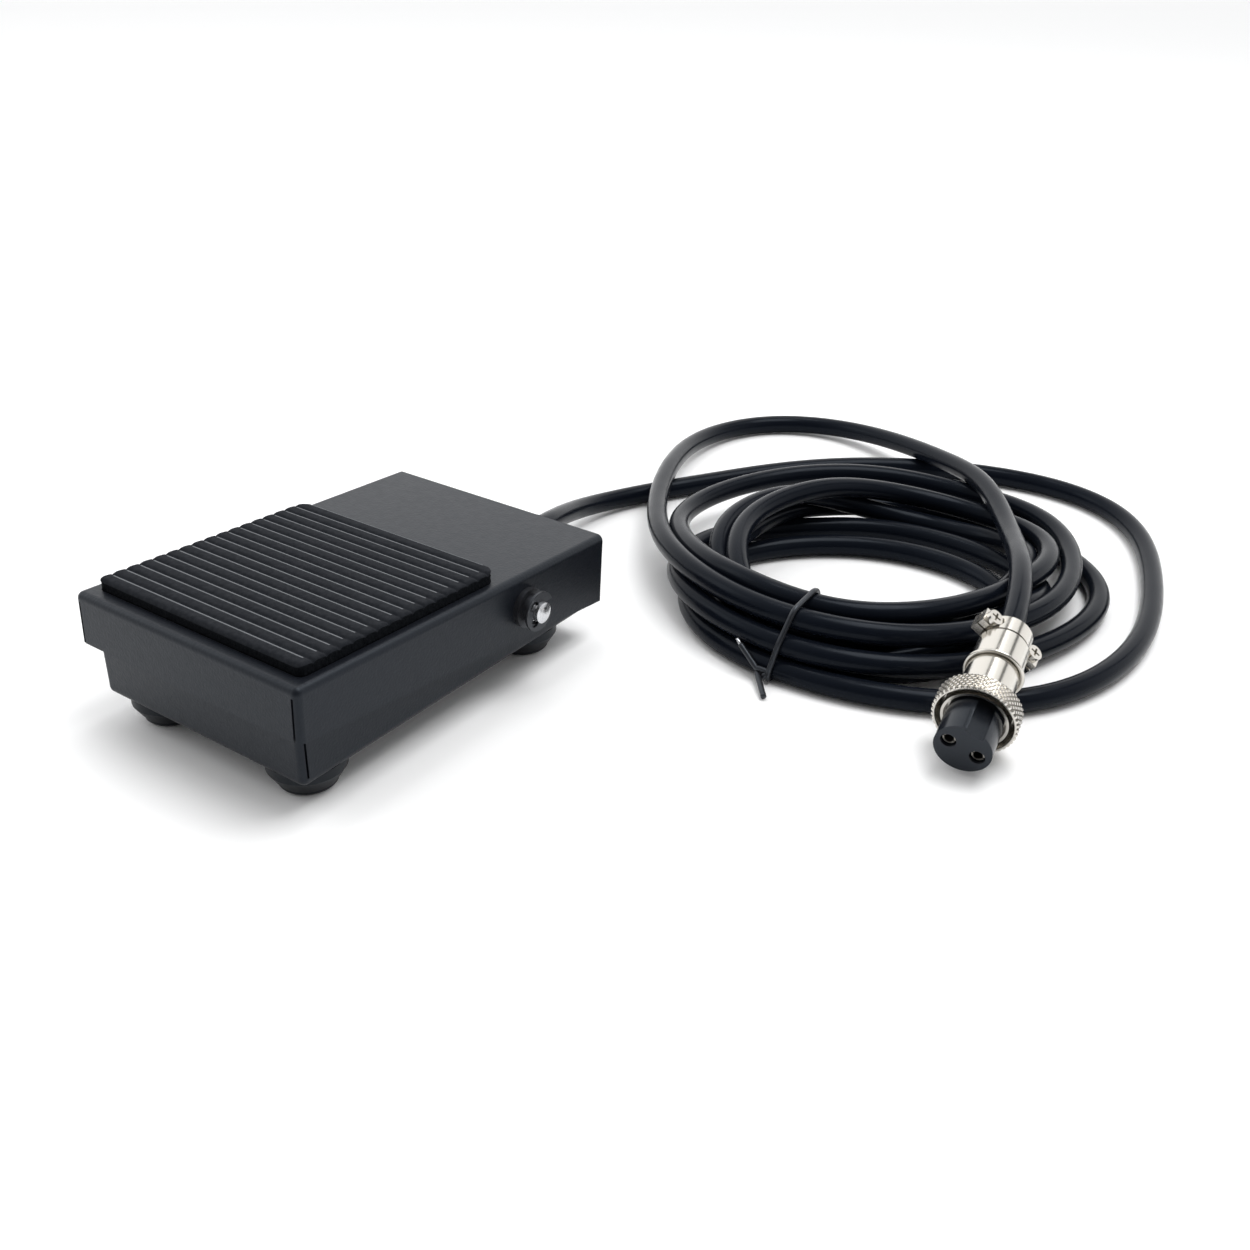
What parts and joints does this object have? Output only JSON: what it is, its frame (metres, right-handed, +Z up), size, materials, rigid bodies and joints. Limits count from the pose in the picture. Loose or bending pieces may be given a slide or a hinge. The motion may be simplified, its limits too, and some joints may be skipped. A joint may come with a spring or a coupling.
{
  "type": "foot switch",
  "caption": "Treadle foot switch with ribbed rubber pad, rocking on a pivot pin over a folded base, with a wound cord and a round screw-ring plug.",
  "frame": {"origin": "centre of the pedal's bounding box on the floor under its feet, the cord and plug left out", "axes": "+X to the right seen from the free end, -Y towards the treadle's free end, +Y towards the cord, +Z up"},
  "size_m": [0.191, 0.2652, 0.0347],
  "materials": {
    "black_paint": "satin powder coat with a fine texture",
    "pad_rubber": "matt ribbed rubber",
    "foot_rubber": "matt moulded rubber",
    "zinc": "bright zinc plate",
    "black_clip": "black nylon and black oxide",
    "switch_plastic": "moulded",
    "red_plastic": "moulded",
    "cord_jacket": "smooth satin jacket",
    "wire_jacket": "smooth",
    "contact_metal": "plated",
    "nickel": "nickel plate with fine turning marks"
  },
  "bodies": {
    "base": {"base_tray": "black_paint", "pivot_pin": "zinc", "e_clips": "black_clip", "foot_front_left": "foot_rubber", "foot_front_right": "foot_rubber", "foot_rear_left": "foot_rubber", "foot_rear_right": "foot_rubber", "foot_screws": "zinc", "foot_nuts": "zinc", "return_spring": "zinc", "spring_seat": "zinc", "switch_case": "switch_plastic", "switch_cover": "switch_plastic", "switch_terminals": "contact_metal", "switch_bracket": "zinc", "switch_screws": "zinc", "switch_nuts": "zinc", "bracket_screws": "zinc", "strain_relief": "foot_rubber", "cord_clamp": "zinc", "cord_clamp_screws": "zinc", "cord_inner": "cord_jacket", "wire_red": "red_plastic", "wire_black": "wire_jacket", "cord_lead": "cord_jacket", "cord_coil": "cord_jacket", "cord_loop": "cord_jacket", "cord_tie": "wire_jacket", "plug_insert": "switch_plastic", "plug_contacts": "contact_metal", "plug_front_shell": "nickel", "plug_backshell": "nickel", "plug_ring": "nickel", "plug_clamp_saddle": "nickel", "plug_clamp_screws": "nickel"},
    "treadle": {"treadle": "black_paint", "rubber_pad": "pad_rubber", "spring_peg": "zinc", "striker_stud": "zinc", "pivot_bushes": "black_clip"},
    "switch_lever": {"switch_lever": "zinc"},
    "switch_plunger": {"switch_plunger": "red_plastic"},
    "coupling_nut": {"plug_coupling_nut": "nickel"}
  },
  "joints": [
    {"name": "treadle_press", "type": "hinge", "parent": "base", "child": "treadle", "pos_m": [0, 0.0199, 0.0202], "axis": [1, 0, 0], "range_deg": [0, 4.5], "stiffness_Nm_per_rad": 2.2, "springref_deg": -9.17, "deforming": ["return_spring"]},
    {"name": "switch_lever_turn", "type": "hinge", "parent": "base", "child": "switch_lever", "pos_m": [0.0076, -0.0114, 0.02315], "axis": [0, -1, 0], "range_deg": [0, 10.3]},
    {"name": "switch_plunger_slide", "type": "slide", "parent": "base", "child": "switch_plunger", "axis": [0, 0, -1], "range_m": [0, 0.00092]},
    {"name": "coupling_nut_spin", "type": "hinge", "parent": "base", "child": "coupling_nut", "pos_m": [0.13123, 0.05474, 0.00978], "axis": [-0.1429, 0.9677, 0.2079], "continuous": true}
  ],
  "couplings": [
    {"joint": "switch_lever_turn", "follows": "treadle_press", "ratio": 2.2222},
    {"joint": "switch_plunger_slide", "follows": "treadle_press", "m_per_rad": 0.011225}
  ]
}
